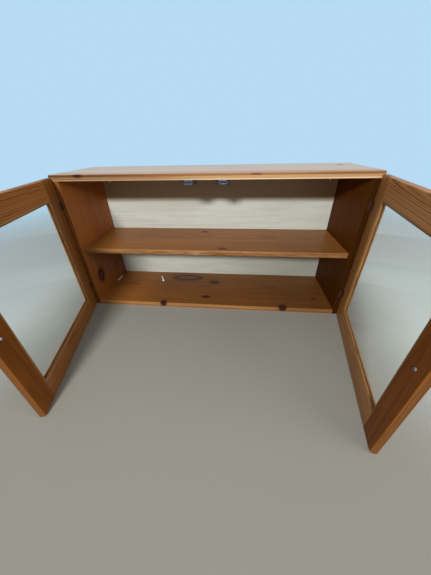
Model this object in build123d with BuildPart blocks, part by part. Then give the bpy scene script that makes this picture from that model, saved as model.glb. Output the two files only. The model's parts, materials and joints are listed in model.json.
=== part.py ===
from build123d import *
from math import atan2, cos, radians, sin
import os

# Glazed pine wall cabinet with two doors on butt hinges and one loose shelf.
# Millimetres, +Z up. The origin is the middle of the base, the doors face -Y, and the back faces +Y.

# Carcass
top_width = 800
height = 400
depth = 210
board = 15
top_overhang = 5
panel = 3
rebate = 7
top_round = 3
side_round = 0.8

side_height = height - board
side_outer = top_width / 2 - top_overhang
side_inner = side_outer - board
front_y = -depth / 2
back_y = depth / 2
panel_y = back_y - panel

# Corner dowels
dowel_r = 3
dowel_chamfer = 0.8
dowel_in_face = 9
dowel_in_edge = 16
dowel_inset = 30
dowel_end_gap = 1

# Back panel nails
nail_r = 0.7
nail_head_r = 1.8
nail_head = 0.6
nail_length = 14
nail_columns = 6
nail_column_pitch = 120
nail_rows = 3
nail_row_pitch = 95

# Shelf and its pins
shelf_board = 15
shelf_drop = 185.7
shelf_setback = 8
shelf_side_gap = 1.5
shelf_back_gap = 1
shelf_round = 3
pin_r = 2.5
pin_in_side = 8
pin_out = 9
pin_collar_r = 4
pin_collar = 1.5
pin_inset = 24
pin_gap = 0.3

shelf_top = side_height - shelf_drop
shelf_bottom = shelf_top - shelf_board
shelf_front_y = front_y + shelf_setback
shelf_back_y = panel_y - shelf_back_gap
pin_z = shelf_bottom - pin_gap - pin_r

# Door frames
door_gap = 1
meeting_gap = 1.5
door_inset = 2.6
door_bottom = 1.5
door_drop = 6.5
door_thickness = 12
member_flat = 45
lip = 7
lip_thickness = 4.5
ovolo_r = 3
door_round = 3
hinge_arris_round = 0.5
door_dowel_reach = 20
door_dowel_pitch = 30
left_opening = 74.7
right_opening = 79.6

door_hinge_x = door_inset - side_outer
door_top = height - door_drop
inner_y = front_y - door_gap
outer_y = inner_y - door_thickness
door_free_x = -meeting_gap / 2
door_mid_x = (door_hinge_x + door_free_x) / 2
door_mid_y = (inner_y + outer_y) / 2
door_mid_z = (door_top + door_bottom) / 2
rebate_depth = door_thickness - lip_thickness

# Glass and beads
glass_thickness = 3
glass_edge_gap = 1
bead_width = 6
bead_setback = 0.5
bead_round = 3

# Hinges
hinge_from_bottom = 73.5
hinge_from_top = 68.5
hinge_length = 20
hinge_inset = 2
hinge_pin_r = 1.1
hinge_tip_r = 1.9
hinge_tip = 0.9
knuckle_r = 2.4
knuckle_gap = 0.3
hinge_bore_gap = 0.08
leaf_width = 9
leaf = 1
leaf_screw_pitch = 10
leaf_screw_out = 6

hinge_heights = (door_bottom + hinge_from_bottom, door_top - hinge_from_top)
hinge_pin_x = hinge_inset - side_outer
hinge_pin_y = front_y - door_gap / 2
segment = hinge_length / 3

# Knobs
knob_r = 14
knob_foot_r = 9
knob_foot = 1.5
knob_neck_r = 7
knob_neck_height = 5.5
knob_cove_r = 10
knob_cove_height = 9.5
knob_height = 24
knob_head_height = 15.5
knob_z = 197.5
knob_screw_r = 2
knob_screw_head_r = 4
knob_screw_head = 2.4
knob_screw_grip = 12
knob_screw_gap = 0.15

knob_x = door_free_x - member_flat / 2

# Magnetic catches and strike plates
catch_x = 42
catch_width = 32
catch_depth = 15
catch_height = 11
catch_wall = 1.3
catch_end = 2
catch_setback = 0.5
pole = 1.2
pole_setback = 0.2
magnet_setback = 1.2
ear_length = 9
ear_depth = 10
ear_thickness = 2.5
strike_width = 30
strike_height = 10
strike = 0.8
strike_round = 2

catch_z = side_height - catch_height / 2

# Wall hangers
hanger_inset = 25
hanger_width = 20
hanger_sheet = 1.5
hanger_stand_off = 3.5
hanger_drop = 1
hanger_height = 47
hanger_tab = 10
hanger_bridge = 22
hanger_round = 4
hanger_screw_drop = 3.5
keyhole_r = 4.5
keyhole_slot_r = 2.3
keyhole_drop = 23
keyhole_rise = 7
bolt_rise = 5
bolt_r = 2
bolt_head_r = 4
bolt_head = 2.5
bolt_end = 1
nut_across = 7
nut_height = 2.4

hanger_x = side_inner - hanger_inset
hanger_top_z = height - hanger_drop
hanger_head_z = hanger_top_z - hanger_tab
hanger_step_z = hanger_head_z - hanger_bridge
hanger_foot_z = hanger_top_z - hanger_height
hanger_screw_z = hanger_top_z - hanger_screw_drop
keyhole_z = hanger_top_z - keyhole_drop
bolt_z = hanger_foot_z + bolt_rise

# Screws: shank radius, head radius and length
leaf_screw_size = (1.2, 2.3, 9)
strike_screw_size = (1.2, 2.3, 9)
hanger_screw_size = (1.2, 2.3, 12)
catch_screw_size = (1.5, 2.7, 12)
wall_screw_size = (2, 4, 40)

# The two spare screws: where the head lies, and which way the point looks, in degrees from +X
spare_inset = 7
spare_from_back = 81
spare_turn = 95
spare_gap = 175
spare_step = 6
second_turn = 115

os.makedirs("parts", exist_ok=True)


def save(piece, label):
    """Writes one finished piece as a STEP file under its node's name."""
    piece.label = label
    export_step(piece, f"parts/{label}.step")


def both_sides(*points):
    """Each (x, y, z) point on both sides of the middle."""
    return [(sign * x, y, z) for sign in (-1, 1) for x, y, z in points]


def looking(direction, points):
    """Planes at the points whose Z axes look along one direction."""
    return [Plane(origin=point, z_dir=direction) for point in points]


def copies(piece, places):
    """The piece at each place, as separate solids."""
    with BuildPart() as group:
        with Locations(*places):
            add(piece)
    return group.part


def peg(radius, length, chamfer_size=0):
    """A round rod along +Z from Z = 0, with its ends chamfered."""
    with BuildPart() as rod:
        Cylinder(radius, length, align=(Align.CENTER, Align.CENTER, Align.MIN))
        if chamfer_size:
            chamfer(rod.edges().filter_by(GeomType.CIRCLE), chamfer_size)
    return rod.part


def turned(*points):
    """A solid of revolution round Z from (radius, height) points; both end points are on the axis."""
    with BuildPart() as solid:
        with BuildSketch(Plane.XZ):
            with BuildLine():
                Polyline(*points, close=True)
            make_face()
        revolve(axis=Axis.Z)
    return solid.part


def countersunk_screw(shank_r, head_r, length):
    """A pointed screw along -Z with the flat of its head at Z = 0."""
    return turned(
        (0, 0),
        (head_r, 0),
        (shank_r, shank_r - head_r),
        (shank_r, 2 * shank_r - length),
        (0, -length),
    )


def domed_screw(shank_r, head_r, head, length):
    """A screw along -Z whose domed head stands on Z = 0."""
    dome_r = (head_r**2 + head**2) / (2 * head)
    with BuildPart() as screw:
        with BuildSketch(Plane.XZ):
            with BuildLine():
                Polyline((0, head), (0, -length), (shank_r, -length), (shank_r, 0), (head_r, 0))
                RadiusArc((head_r, 0), (0, head), -dome_r)
            make_face()
        revolve(axis=Axis.Z)
    return screw.part


# ---- Fixings of the carcass: each is cut out of the boards it passes through

dowel_ys = (front_y + dowel_inset, 0, back_y - dowel_inset)
top_dowel_places = looking(
    (0, 0, 1),
    both_sides(*[(side_inner + board / 2, y, side_height - dowel_in_edge) for y in dowel_ys]),
)
bottom_dowel_places = [
    place
    for sign in (-1, 1)
    for place in looking(
        (sign, 0, 0), [(sign * (side_inner - dowel_in_edge), y, board / 2) for y in dowel_ys]
    )
]
dowel_places = top_dowel_places + bottom_dowel_places
dowel_length = dowel_in_face + dowel_in_edge

carcass_dowels = copies(peg(dowel_r, dowel_length, dowel_chamfer), dowel_places)
dowel_holes = copies(
    peg(dowel_r, dowel_length + 2 * dowel_end_gap),
    [place.offset(-dowel_end_gap) for place in dowel_places],
)

nail_xs = [(i - (nail_columns - 1) / 2) * nail_column_pitch for i in range(nail_columns)]
nail_zs = [height / 2 + (i - (nail_rows - 1) / 2) * nail_row_pitch for i in range(nail_rows)]
nail_points = [
    (x, back_y, z) for x in nail_xs for z in (board - rebate / 2, side_height + rebate / 2)
]
nail_points += both_sides(*[(side_inner + rebate / 2, back_y, z) for z in nail_zs])
nail = turned(
    (0, nail_head),
    (nail_head_r, nail_head),
    (nail_head_r, 0),
    (nail_r, 0),
    (nail_r, 2 * nail_r - nail_length),
    (0, -nail_length),
)
back_nails = copies(nail, looking((0, 1, 0), nail_points))

shelf_pin = turned(
    (0, -pin_in_side),
    (pin_r, -pin_in_side),
    (pin_r, 0),
    (pin_collar_r, 0),
    (pin_collar_r, pin_collar),
    (pin_r, pin_collar),
    (pin_r, pin_out),
    (0, pin_out),
)
pin_ys = (shelf_front_y + pin_inset, shelf_back_y - pin_inset)
shelf_pins = copies(
    shelf_pin,
    [
        Plane(origin=(sign * side_inner, y, pin_z), z_dir=(-sign, 0, 0))
        for sign in (-1, 1)
        for y in pin_ys
    ],
)

save(carcass_dowels, "carcass_dowels")
save(back_nails, "back_nails")
save(shelf_pins, "shelf_pins")

# ---- Butt hinges of the left door, let in flush; the right ones are their mirror image

hinge_bases = [(hinge_pin_x, hinge_pin_y, z - hinge_length / 2) for z in hinge_heights]


def round_the_pin(radius, length, start=0):
    """A cylinder round each hinge's pin, from a height above the hinge's lower end."""
    return copies(peg(radius, length), [(x, y, z + start) for x, y, z in hinge_bases])


def leaf_plates(low_y):
    """The flat part of both hinges' leaves, from the pin outwards."""
    with BuildPart() as plates:
        with Locations(*[(x, low_y, z) for x, y, z in hinge_bases]):
            Box(leaf_width, leaf, hinge_length, align=(Align.MIN, Align.MIN, Align.MIN))
    return plates.part


def leaf_screw_places(head_y, direction):
    """Where the screws of both hinges' leaves sit."""
    return looking(
        (0, direction, 0),
        [
            (hinge_pin_x + leaf_screw_out, head_y, z + sign * leaf_screw_pitch / 2)
            for z in hinge_heights
            for sign in (-1, 1)
        ],
    )


def hinge_leaves(low_y, own, other, bore_r, screws):
    """Leaves with knuckles in their own segments, cleared round the other leaf's knuckles."""
    with BuildPart() as leaves:
        add(leaf_plates(low_y))
        for i in own:
            add(round_the_pin(knuckle_r, segment, i * segment))
        for i in other:
            cleared = round_the_pin(
                knuckle_r + knuckle_gap, segment + knuckle_gap, i * segment - knuckle_gap / 2
            )
            add(cleared, mode=Mode.SUBTRACT)
        add(round_the_pin(bore_r, hinge_length), mode=Mode.SUBTRACT)
        add(screws, mode=Mode.SUBTRACT)
    return leaves.part


leaf_screw = countersunk_screw(*leaf_screw_size)
carcass_leaf_screws = copies(leaf_screw, leaf_screw_places(front_y, -1))
door_leaf_screws = copies(leaf_screw, leaf_screw_places(inner_y, 1))
carcass_leaves = hinge_leaves(front_y, (0, 2), (1,), hinge_pin_r, carcass_leaf_screws)
door_leaves = hinge_leaves(
    inner_y - leaf, (1,), (0, 2), hinge_pin_r + hinge_bore_gap, door_leaf_screws
)

with BuildPart() as hinge_pins:
    add(round_the_pin(hinge_pin_r, hinge_length))
    add(round_the_pin(hinge_tip_r, hinge_tip, hinge_length))
    add(round_the_pin(hinge_tip_r, hinge_tip, -hinge_tip))

knuckle_room = round_the_pin(
    knuckle_r + knuckle_gap,
    hinge_length + 2 * (hinge_tip + knuckle_gap),
    -hinge_tip - knuckle_gap,
)


def let_in(low_y, screws):
    """What the leaves, knuckles and screws of both hinges need cut out of the wood."""
    with BuildPart() as room:
        add(leaf_plates(low_y))
        add(knuckle_room)
        add(screws)
    return room.part


carcass_room = let_in(front_y, carcass_leaf_screws)
door_room = let_in(inner_y - leaf, door_leaf_screws)

save(carcass_leaves, "left_carcass_leaves")
save(mirror(carcass_leaves, about=Plane.YZ), "right_carcass_leaves")
save(hinge_pins.part, "left_hinge_pins")
save(mirror(hinge_pins.part, about=Plane.YZ), "right_hinge_pins")
save(
    Compound(carcass_leaf_screws.solids() + mirror(carcass_leaf_screws, about=Plane.YZ).solids()),
    "carcass_leaf_screws",
)

# ---- Magnetic catches under the top board

catch_front_y = front_y + catch_setback
pocket_width = catch_width - 2 * catch_end
pocket_height = catch_height - 2 * catch_wall
pocket_back_y = catch_front_y + catch_depth - catch_end
magnet_height = pocket_height - 2 * pole
ear_mid_y = catch_front_y + catch_depth / 2
ear_screw_x = catch_width / 2 + ear_length / 2
catch_screw = countersunk_screw(*catch_screw_size)


def catch_screw_places(x):
    """Where the two screws of one catch enter its ears from below."""
    return looking(
        (0, 0, -1),
        [(x + sign * ear_screw_x, ear_mid_y, side_height - ear_thickness) for sign in (-1, 1)],
    )


catch_screws = copies(catch_screw, catch_screw_places(-catch_x) + catch_screw_places(catch_x))


def catch_pole(x, z):
    """One steel pole plate, whose middle is at a height."""
    with BuildPart() as plate:
        with Locations((x, front_y + pole_setback, z)):
            Box(
                pocket_width,
                pocket_back_y - front_y - pole_setback,
                pole,
                align=(Align.CENTER, Align.MIN, Align.CENTER),
            )
    return plate.part


for side, x in (("left", -catch_x), ("right", catch_x)):
    with BuildPart() as housing:
        with Locations((x, catch_front_y, side_height)):
            Box(
                catch_width,
                catch_depth,
                catch_height,
                align=(Align.CENTER, Align.MIN, Align.MAX),
            )
        fillet(housing.edges().filter_by(Axis.Y).group_by(Axis.Z)[0], catch_wall)
        with BuildSketch(Plane.XY.offset(side_height)):
            with Locations((x, ear_mid_y)):
                SlotOverall(catch_width + 2 * ear_length, ear_depth)
        extrude(amount=-ear_thickness)
        with Locations((x, catch_front_y, catch_z)):
            Box(
                pocket_width,
                catch_depth - catch_end,
                pocket_height,
                align=(Align.CENTER, Align.MIN, Align.CENTER),
                mode=Mode.SUBTRACT,
            )
        add(catch_screws, mode=Mode.SUBTRACT)
    with BuildPart() as magnet:
        with Locations((x, front_y + magnet_setback, catch_z)):
            Box(
                pocket_width,
                pocket_back_y - front_y - magnet_setback,
                magnet_height,
                align=(Align.CENTER, Align.MIN, Align.CENTER),
            )
    pole_z = (magnet_height + pole) / 2
    poles = Compound(
        catch_pole(x, catch_z - pole_z).solids() + catch_pole(x, catch_z + pole_z).solids()
    )
    save(housing.part, f"{side}_catch_housing")
    save(magnet.part, f"{side}_catch_magnet")
    save(poles, f"{side}_catch_poles")

save(catch_screws, "catch_screws")

# ---- Wall hangers: a keyhole strip bridges from the back panel to the top board

hanger_face_y = back_y + hanger_sheet
bolt = domed_screw(
    bolt_r, bolt_head_r, bolt_head, panel + hanger_sheet + nut_height + bolt_end
)
hanger_bolts = copies(bolt, looking((0, -1, 0), both_sides((hanger_x, panel_y, bolt_z))))
hanger_screws = copies(
    countersunk_screw(*hanger_screw_size),
    looking((0, 1, 0), both_sides((hanger_x, hanger_face_y, hanger_screw_z))),
)
hanger_path = [
    (back_y, hanger_foot_z),
    (back_y, hanger_step_z),
    (back_y + hanger_stand_off, hanger_step_z + hanger_stand_off),
    (back_y + hanger_stand_off, hanger_head_z - hanger_stand_off),
    (back_y, hanger_head_z),
    (back_y, hanger_top_z),
]
hanger_outline = hanger_path + [(y + hanger_sheet, z) for y, z in reversed(hanger_path)]

for side, x in (("left", -hanger_x), ("right", hanger_x)):
    with BuildPart() as hanger:
        with BuildSketch(Plane.YZ.offset(x)):
            with BuildLine():
                Polyline(*hanger_outline, close=True)
            make_face()
        extrude(amount=hanger_width / 2, both=True)
        fillet(
            hanger.edges().filter_by(Axis.Y).group_by(Axis.Z)[0]
            + hanger.edges().filter_by(Axis.Y).group_by(Axis.Z)[-1],
            hanger_round,
        )
        with BuildSketch(Plane(origin=(x, back_y, keyhole_z), x_dir=(1, 0, 0), z_dir=(0, -1, 0))):
            Circle(keyhole_r)
            with Locations((0, keyhole_rise / 2)):
                SlotCenterToCenter(keyhole_rise, 2 * keyhole_slot_r, rotation=90)
        extrude(amount=-(hanger_stand_off + 2 * hanger_sheet), mode=Mode.SUBTRACT)
        add(hanger_bolts, mode=Mode.SUBTRACT)
        add(hanger_screws, mode=Mode.SUBTRACT)
    save(hanger.part, f"{side}_hanger")

with BuildPart() as hanger_nuts:
    for place in looking((0, 1, 0), both_sides((hanger_x, hanger_face_y, bolt_z))):
        with BuildSketch(place):
            RegularPolygon(nut_across / 2, 6, major_radius=False)
            Circle(bolt_r, mode=Mode.SUBTRACT)
        extrude(amount=nut_height)

save(hanger_bolts, "hanger_bolts")
save(hanger_screws, "hanger_screws")
save(hanger_nuts.part, "hanger_nuts")

# ---- Boards of the carcass

with BuildPart() as top_board:
    with Locations((0, 0, side_height)):
        Box(top_width, depth, board, align=(Align.CENTER, Align.CENTER, Align.MIN))
    upper = top_board.edges().group_by(Axis.Z)[-1]
    fillet(upper.filter_by(Axis.Y) + upper.filter_by(Axis.X).group_by(Axis.Y)[0], top_round)
    with Locations((0, back_y, side_height)):
        Box(
            2 * (side_inner + rebate),
            2 * panel,
            2 * rebate,
            mode=Mode.SUBTRACT,
        )
    add(dowel_holes, mode=Mode.SUBTRACT)
    add(back_nails, mode=Mode.SUBTRACT)
    add(catch_screws, mode=Mode.SUBTRACT)
    add(hanger_screws, mode=Mode.SUBTRACT)

with BuildPart() as bottom_board:
    Box(2 * side_inner, depth, board, align=(Align.CENTER, Align.CENTER, Align.MIN))
    with Locations((0, back_y, board)):
        Box(2 * side_inner, 2 * panel, 2 * rebate, mode=Mode.SUBTRACT)
    add(dowel_holes, mode=Mode.SUBTRACT)
    add(back_nails, mode=Mode.SUBTRACT)

with BuildPart() as left_side:
    with Locations((-side_outer, 0, 0)):
        Box(board, depth, side_height, align=(Align.MIN, Align.CENTER, Align.MIN))
    fillet(left_side.edges().filter_by(Axis.Z).group_by(Axis.Y)[0], side_round)
    with Locations((-side_inner, back_y, board - rebate)):
        Box(
            2 * rebate,
            2 * panel,
            side_height,
            align=(Align.CENTER, Align.CENTER, Align.MIN),
            mode=Mode.SUBTRACT,
        )
    add(dowel_holes, mode=Mode.SUBTRACT)
    add(back_nails, mode=Mode.SUBTRACT)
    add(shelf_pins, mode=Mode.SUBTRACT)
    add(carcass_room, mode=Mode.SUBTRACT)

with BuildPart() as back_panel:
    with Locations((0, panel_y, board - rebate)):
        Box(
            2 * (side_inner + rebate),
            panel,
            side_height - board + 2 * rebate,
            align=(Align.CENTER, Align.MIN, Align.MIN),
        )
    add(back_nails, mode=Mode.SUBTRACT)
    add(hanger_bolts, mode=Mode.SUBTRACT)

save(top_board.part, "top_board")
save(bottom_board.part, "bottom_board")
save(left_side.part, "left_side")
save(mirror(left_side.part, about=Plane.YZ), "right_side")
save(back_panel.part, "back_panel")

# ---- Two spare wall screws lying on the bottom board, each on its head's rim and its point

wall_shank_r, wall_head_r, wall_length = wall_screw_size
lean = atan2(wall_head_r - wall_shank_r, wall_length - 2 * wall_shank_r)
spare_x = spare_inset - side_inner
spare_y = back_y - spare_from_back
spare_screws = (
    (spare_x, spare_y, spare_turn),
    (spare_x + spare_gap, spare_y + spare_step, second_turn),
)
spare_places = [
    Plane(
        origin=(x, y, board + wall_head_r * cos(lean)),
        z_dir=(-cos(radians(way)) * cos(lean), -sin(radians(way)) * cos(lean), sin(lean)),
    )
    for x, y, way in spare_screws
]
save(copies(countersunk_screw(*wall_screw_size), spare_places), "spare_screws")

# ---- Shelf

with BuildPart() as shelf:
    with Locations((0, shelf_front_y, shelf_bottom)):
        Box(
            2 * (side_inner - shelf_side_gap),
            shelf_back_y - shelf_front_y,
            shelf_board,
            align=(Align.CENTER, Align.MIN, Align.MIN),
        )
    fillet(shelf.edges().filter_by(Axis.X).group_by(Axis.Y)[0], shelf_round)

save(shelf.part, "shelf")

# ---- Doors: the left one is made shut and then swung open; the right one is its mirror image

out = Vector(0, -1, 0)
door_middle = (door_mid_x, door_mid_y, door_mid_z)


def save_door_piece(piece, label):
    """Writes a piece of the left door, swung open, and its twin in the right door."""
    pin_axis = Axis((hinge_pin_x, hinge_pin_y, 0), (0, 0, 1))
    save(piece.rotate(pin_axis, -left_opening), f"left_{label}")
    save(mirror(piece.rotate(pin_axis, -right_opening), about=Plane.YZ), f"right_{label}")


def hinge_arris(blank):
    """The upright edge of a door blank that lies along its hinges."""
    return blank.edges().filter_by(Axis.Z).group_by(Axis.Y)[-1].sort_by(Axis.X)[:1]


with BuildPart() as door_blank:
    with Locations(door_middle):
        Box(door_free_x - door_hinge_x, door_thickness, door_top - door_bottom)
    sharp = hinge_arris(door_blank)
    fillet([edge for edge in door_blank.edges() if edge not in sharp], door_round)
    fillet(hinge_arris(door_blank), hinge_arris_round)


def frame_member(corner, inward, length):
    """One stile or rail: a flat, a rebate for the glass behind a lip, and an ovolo on the lip."""
    run = Vector(*inward).cross(out)
    with BuildPart() as member:
        with BuildSketch(Plane(origin=corner, x_dir=inward, z_dir=run)):
            with BuildLine():
                Polyline(
                    (member_flat + lip - ovolo_r, door_thickness),
                    (0, door_thickness),
                    (0, 0),
                    (member_flat, 0),
                    (member_flat, rebate_depth),
                    (member_flat + lip, rebate_depth),
                    (member_flat + lip, door_thickness - ovolo_r),
                )
                RadiusArc(
                    (member_flat + lip, door_thickness - ovolo_r),
                    (member_flat + lip - ovolo_r, door_thickness),
                    -ovolo_r,
                )
            make_face()
        extrude(amount=length)
        add(door_blank.part, mode=Mode.INTERSECT)
    return member.part


shoulder_left = door_hinge_x + member_flat
shoulder_right = door_free_x - member_flat
dowel_zs = [
    z + sign * door_dowel_pitch / 2
    for z in (door_bottom + member_flat / 2, door_top - member_flat / 2)
    for sign in (-1, 1)
]
door_dowel_places = looking(
    (1, 0, 0),
    [
        (x - door_dowel_reach, door_mid_y, z)
        for x in (shoulder_left, shoulder_right)
        for z in dowel_zs
    ],
)
door_dowels = copies(peg(dowel_r, 2 * door_dowel_reach, dowel_chamfer), door_dowel_places)
door_dowel_holes = copies(
    peg(dowel_r, 2 * (door_dowel_reach + dowel_end_gap)),
    [place.offset(-dowel_end_gap) for place in door_dowel_places],
)

knob_screw_place = Plane(origin=(knob_x, inner_y, knob_z), z_dir=(0, 1, 0))
knob_screw = copies(
    domed_screw(
        knob_screw_r, knob_screw_head_r, knob_screw_head, door_thickness + knob_screw_grip
    ),
    [knob_screw_place],
)
strike_x = -catch_x
strike_screw = copies(
    countersunk_screw(*strike_screw_size),
    looking((0, 1, 0), [(strike_x, inner_y + strike, catch_z)]),
)

with BuildPart() as hinge_stile:
    add(frame_member((door_hinge_x, inner_y, door_top), (1, 0, 0), door_top - door_bottom))
    add(door_dowel_holes, mode=Mode.SUBTRACT)
    add(door_room, mode=Mode.SUBTRACT)

with BuildPart() as meeting_stile:
    add(frame_member((door_free_x, inner_y, door_bottom), (-1, 0, 0), door_top - door_bottom))
    add(door_dowel_holes, mode=Mode.SUBTRACT)
    add(strike_screw, mode=Mode.SUBTRACT)
    with Locations(knob_screw_place):
        Cylinder(knob_screw_r + knob_screw_gap, 3 * door_thickness, mode=Mode.SUBTRACT)

rail_length = shoulder_right - shoulder_left
rails = (
    ("top_rail", (shoulder_right, inner_y, door_top), (0, 0, -1)),
    ("bottom_rail", (shoulder_left, inner_y, door_bottom), (0, 0, 1)),
)
for label, corner, inward in rails:
    with BuildPart() as rail:
        add(frame_member(corner, inward, rail_length))
        add(hinge_stile.part, mode=Mode.SUBTRACT)
        add(meeting_stile.part, mode=Mode.SUBTRACT)
        add(door_dowel_holes, mode=Mode.SUBTRACT)
        add(strike_screw, mode=Mode.SUBTRACT)
    save_door_piece(rail.part, label)

with BuildPart() as glass:
    with Locations((door_mid_x, inner_y - rebate_depth, door_mid_z)):
        Box(
            rail_length - 2 * glass_edge_gap,
            glass_thickness,
            door_top - door_bottom - 2 * (member_flat + glass_edge_gap),
            align=(Align.CENTER, Align.MIN, Align.CENTER),
        )


def bead(corner, inward, length):
    """One glazing bead along a side of the rebate, mitred at both ends."""
    corner, inward = Vector(*corner), Vector(*inward)
    run = inward.cross(out)
    glass_face = rebate_depth - glass_thickness
    with BuildPart() as strip:
        with BuildSketch(Plane(origin=corner, x_dir=inward, z_dir=run)):
            with BuildLine():
                Polyline(
                    (bead_width - bead_round, bead_setback),
                    (0, bead_setback),
                    (0, glass_face),
                    (bead_width, glass_face),
                    (bead_width, bead_setback + bead_round),
                )
                RadiusArc(
                    (bead_width, bead_setback + bead_round),
                    (bead_width - bead_round, bead_setback),
                    bead_round,
                )
            make_face()
        extrude(amount=length)
        split(bisect_by=Plane(origin=corner, z_dir=run - inward), keep=Keep.TOP)
        split(
            bisect_by=Plane(origin=corner + run * length, z_dir=-run - inward), keep=Keep.TOP
        )
    return strip.part


low_z = door_bottom + member_flat
high_z = door_top - member_flat
beads = Compound(
    bead((shoulder_left, inner_y, high_z), (1, 0, 0), high_z - low_z).solids()
    + bead((shoulder_left, inner_y, low_z), (0, 0, 1), rail_length).solids()
    + bead((shoulder_right, inner_y, low_z), (-1, 0, 0), high_z - low_z).solids()
    + bead((shoulder_right, inner_y, high_z), (0, 0, -1), rail_length).solids()
)

with BuildPart() as turned_knob:
    with BuildSketch(Plane.XZ):
        with BuildLine():
            head = Spline(
                (knob_cove_r, knob_cove_height),
                (knob_r, knob_head_height),
                (0, knob_height),
                tangents=[(1, 1), (-1, 0)],
            )
            ThreePointArc((knob_foot_r, knob_foot), (knob_neck_r, knob_neck_height), head @ 0)
            Polyline(head @ 1, (0, 0), (knob_foot_r, 0), (knob_foot_r, knob_foot))
        make_face()
    revolve(axis=Axis.Z)

with BuildPart() as knob:
    with Locations(Plane(origin=(knob_x, outer_y, knob_z), z_dir=(0, -1, 0))):
        add(turned_knob.part)
    add(knob_screw, mode=Mode.SUBTRACT)

with BuildPart() as strike_plate:
    with BuildSketch(Plane.XZ.offset(-inner_y)):
        with Locations((strike_x, catch_z)):
            RectangleRounded(strike_width, strike_height, strike_round)
    extrude(amount=-strike)
    add(strike_screw, mode=Mode.SUBTRACT)

save_door_piece(hinge_stile.part, "hinge_stile")
save_door_piece(meeting_stile.part, "meeting_stile")
save_door_piece(door_dowels, "door_dowels")
save_door_piece(glass.part, "glass")
save_door_piece(beads, "beads")
save_door_piece(knob.part, "knob")
save_door_piece(knob_screw, "knob_screw")
save_door_piece(strike_plate.part, "strike_plate")
save_door_piece(strike_screw, "strike_screw")
save_door_piece(door_leaves, "door_leaves")
save_door_piece(door_leaf_screws, "door_leaf_screws")
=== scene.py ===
import json
from math import cos, pi, radians, sin

import bmesh
import bpy
from mathutils import Matrix, Vector


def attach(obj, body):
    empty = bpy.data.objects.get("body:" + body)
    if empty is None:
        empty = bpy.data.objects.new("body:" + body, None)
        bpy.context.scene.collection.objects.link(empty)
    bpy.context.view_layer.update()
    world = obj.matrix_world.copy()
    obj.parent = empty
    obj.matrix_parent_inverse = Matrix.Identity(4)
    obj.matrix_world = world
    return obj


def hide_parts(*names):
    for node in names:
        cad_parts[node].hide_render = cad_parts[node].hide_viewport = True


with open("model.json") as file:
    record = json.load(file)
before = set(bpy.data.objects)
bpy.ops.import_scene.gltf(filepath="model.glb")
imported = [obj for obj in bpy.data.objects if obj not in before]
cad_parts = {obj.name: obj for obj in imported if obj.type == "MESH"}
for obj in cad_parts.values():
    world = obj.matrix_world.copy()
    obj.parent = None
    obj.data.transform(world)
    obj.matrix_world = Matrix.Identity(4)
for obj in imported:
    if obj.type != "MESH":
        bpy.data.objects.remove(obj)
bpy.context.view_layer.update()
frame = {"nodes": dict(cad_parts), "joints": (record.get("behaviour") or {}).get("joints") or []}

nodes = frame["nodes"]
mm = 0.001
scene = bpy.context.scene
scene.view_settings.view_transform = "Standard"


# ---- The view and the light
# The cabinet is seen from close in front, a little above it and just right of its middle, with a
# wide lens. A window-like soft lamp stands in front, a little to the left and low enough to reach
# the back panel, and a broad weak one on the right lights what faces it.

eye = bpy.data.cameras.new("eye")
eye.lens = 14.27
eye.sensor_width = 36
eye.clip_start = 0.05
eye_place = (0.0856, -0.6934, 0.4617)
look_down, look_left, lean = radians(32.69), radians(6.61), radians(-1.555)
viewpoint = bpy.data.objects.new("eye", eye)
viewpoint.matrix_world = (
    Matrix.Translation(eye_place)
    @ Matrix.Rotation(look_left, 4, "Z")
    @ Matrix.Rotation(pi / 2 - look_down, 4, "X")
    @ Matrix.Rotation(lean, 4, "Z")
)
scene.collection.objects.link(viewpoint)
scene.camera = viewpoint

lit_point = Vector((0, 0, 0.25))
window_way = Vector((0.08, 0.925, -0.431)).normalized()
window_distance = 2.6


def lamp(name, place, width, tall, watts, colour):
    """A soft rectangular studio lamp that looks at the cabinet."""
    light = bpy.data.lights.new(name, "AREA")
    light.shape = "RECTANGLE"
    light.size = width
    light.size_y = tall
    light.energy = watts
    light.color = colour
    stand = bpy.data.objects.new(name, light)
    turn = (lit_point - place).to_track_quat("-Z", "Y").to_matrix().to_4x4()
    stand.matrix_world = Matrix.Translation(place) @ turn
    scene.collection.objects.link(stand)


lamp(
    "window",
    lit_point - window_distance * window_way,
    width=0.40,
    tall=0.20,
    watts=64,
    colour=(1.0, 0.985, 0.96),
)
lamp("room", Vector((2.2, -1.3, 1.6)), width=1.8, tall=1.8, watts=26, colour=(1.0, 0.96, 0.90))


# ---- Floor and surroundings
# The cabinet stands on a pale floor, a disc that fades out at its rim, with painted shade darkening
# it in front and painted light paling it at the sides. The pale blue backdrop is only seen,
# mirrored and looked through, and what lights the shadows is weaker and nearly white.


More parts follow.
